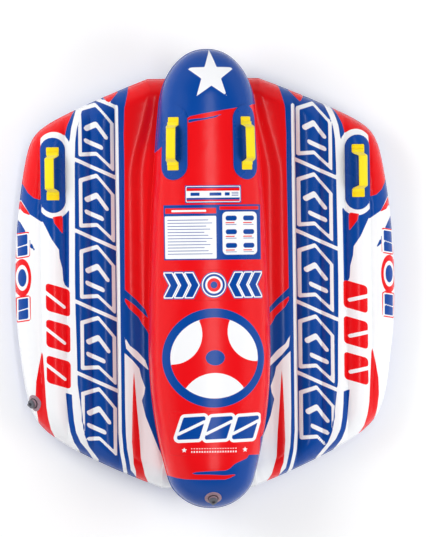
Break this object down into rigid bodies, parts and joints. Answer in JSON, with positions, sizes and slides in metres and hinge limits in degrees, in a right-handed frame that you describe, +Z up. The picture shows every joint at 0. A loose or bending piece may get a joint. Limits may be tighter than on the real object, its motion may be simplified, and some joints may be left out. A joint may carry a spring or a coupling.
{
  "type": "towable tube",
  "caption": "Flat lobed inflatable towable for two riders, with a raised centre tube, webbing grab handles, inflation valves and a tow point under the nose.",
  "frame": {"origin": "on the ground under the middle of the tube's overall box", "axes": "+X to the right, +Y forward in the towing direction, +Z up"},
  "size_m": [1.5372, 1.85, 0.4802],
  "materials": {
    "printed_vinyl": "glossy printed vinyl, red, blue and white",
    "red_vinyl": "glossy red vinyl",
    "blue_vinyl": "glossy blue vinyl",
    "white_vinyl": "white vinyl",
    "clear_vinyl": "milky translucent vinyl",
    "yellow_webbing": "woven nylon webbing",
    "orange_vinyl": "welded vinyl tabs",
    "foam": "closed-cell foam",
    "grey_plastic": "moulded plastic",
    "black_webbing": "woven nylon webbing",
    "black_rubber": "thin rubber flap",
    "steel": "stainless steel pin"
  },
  "bodies": {
    "hull": {"deck_top_panel": "printed_vinyl", "deck_bottom_panel": "blue_vinyl", "deck_baffle_01": "white_vinyl", "deck_baffle_02": "white_vinyl", "deck_baffle_03": "white_vinyl", "deck_baffle_04": "white_vinyl", "deck_baffle_05": "white_vinyl", "deck_baffle_06": "white_vinyl", "deck_baffle_07": "white_vinyl", "deck_baffle_08": "white_vinyl", "deck_baffle_09": "white_vinyl", "deck_baffle_10": "white_vinyl", "deck_baffle_11": "white_vinyl", "deck_baffle_12": "white_vinyl", "deck_baffle_13": "white_vinyl", "deck_baffle_14": "white_vinyl", "centre_tube_top_panel": "printed_vinyl", "centre_tube_bottom_panel": "red_vinyl", "joining_panel": "white_vinyl", "left_outer_pad": "blue_vinyl", "left_outer_front_tab": "orange_vinyl", "left_outer_rear_tab": "orange_vinyl", "left_centre_pad": "blue_vinyl", "left_centre_front_tab": "orange_vinyl", "left_centre_rear_tab": "orange_vinyl", "right_outer_pad": "blue_vinyl", "right_outer_front_tab": "orange_vinyl", "right_outer_rear_tab": "orange_vinyl", "right_centre_pad": "blue_vinyl", "right_centre_front_tab": "orange_vinyl", "right_centre_rear_tab": "orange_vinyl", "deck_valve_base": "clear_vinyl", "deck_valve_insert": "grey_plastic", "tube_valve_base": "clear_vinyl", "tube_valve_insert": "grey_plastic", "tow_patch": "black_webbing", "tow_strap": "black_webbing", "tow_pin": "steel"},
    "left_outer_grip": {"left_outer_strap": "yellow_webbing", "left_outer_grip_core": "foam"},
    "left_centre_grip": {"left_centre_strap": "yellow_webbing", "left_centre_grip_core": "foam"},
    "right_outer_grip": {"right_outer_strap": "yellow_webbing", "right_outer_grip_core": "foam"},
    "right_centre_grip": {"right_centre_strap": "yellow_webbing", "right_centre_grip_core": "foam"},
    "deck_valve_lid": {"deck_valve_cap": "grey_plastic", "deck_valve_tether": "grey_plastic"},
    "deck_valve_check": {"deck_valve_flap": "black_rubber"},
    "tube_valve_lid": {"tube_valve_cap": "grey_plastic", "tube_valve_tether": "grey_plastic"},
    "tube_valve_check": {"tube_valve_flap": "black_rubber"},
    "tow_swivel": {"tow_link": "grey_plastic"}
  },
  "joints": [
    {"name": "left_outer_swing", "type": "hinge", "parent": "hull", "child": "left_outer_grip", "pos_m": [-0.62031, 0.4305, 0.1965], "axis": [0, 1, 0], "range_deg": [-42, 82], "stiffness_Nm_per_rad": 0.15, "deforming": ["left_outer_strap"]},
    {"name": "right_outer_swing", "type": "hinge", "parent": "hull", "child": "right_outer_grip", "pos_m": [0.62031, 0.4305, 0.1965], "axis": [0, 1, 0], "range_deg": [-82, 42], "stiffness_Nm_per_rad": 0.15, "deforming": ["right_outer_strap"]},
    {"name": "left_centre_swing", "type": "hinge", "parent": "hull", "child": "left_centre_grip", "pos_m": [-0.15075, 0.54425, 0.43021], "axis": [0.0192, 0.9994, -0.0279], "range_deg": [-79, 45], "stiffness_Nm_per_rad": 0.15, "deforming": ["left_centre_strap"]},
    {"name": "right_centre_swing", "type": "hinge", "parent": "hull", "child": "right_centre_grip", "pos_m": [0.15075, 0.54425, 0.43021], "axis": [-0.0192, 0.9994, -0.0279], "range_deg": [-45, 79], "stiffness_Nm_per_rad": 0.15, "deforming": ["right_centre_strap"]},
    {"name": "deck_valve_lid_hinge", "type": "hinge", "parent": "hull", "child": "deck_valve_lid", "pos_m": [-0.72008, -0.50242, 0.12209], "axis": [0.3086, -0.9512, 0], "range_deg": [0, 110]},
    {"name": "deck_valve_flap_lift", "type": "slide", "parent": "hull", "child": "deck_valve_check", "axis": [0.778, 0.2524, -0.5753], "range_m": [0, 0.003], "stiffness_N_per_m": 20, "springref_m": -0.0005},
    {"name": "tube_valve_lid_hinge", "type": "hinge", "parent": "hull", "child": "tube_valve_lid", "pos_m": [0, -0.90433, 0.37645], "axis": [1, 0, 0], "range_deg": [0, 110]},
    {"name": "tube_valve_flap_lift", "type": "slide", "parent": "hull", "child": "tube_valve_check", "axis": [0, 0.7499, -0.6616], "range_m": [0, 0.003], "stiffness_N_per_m": 20, "springref_m": -0.0005},
    {"name": "tow_link_swing", "type": "hinge", "parent": "hull", "child": "tow_swivel", "pos_m": [0, 0.8408, 0.094], "axis": [1, 0, 0], "range_deg": [-20, 100]}
  ]
}
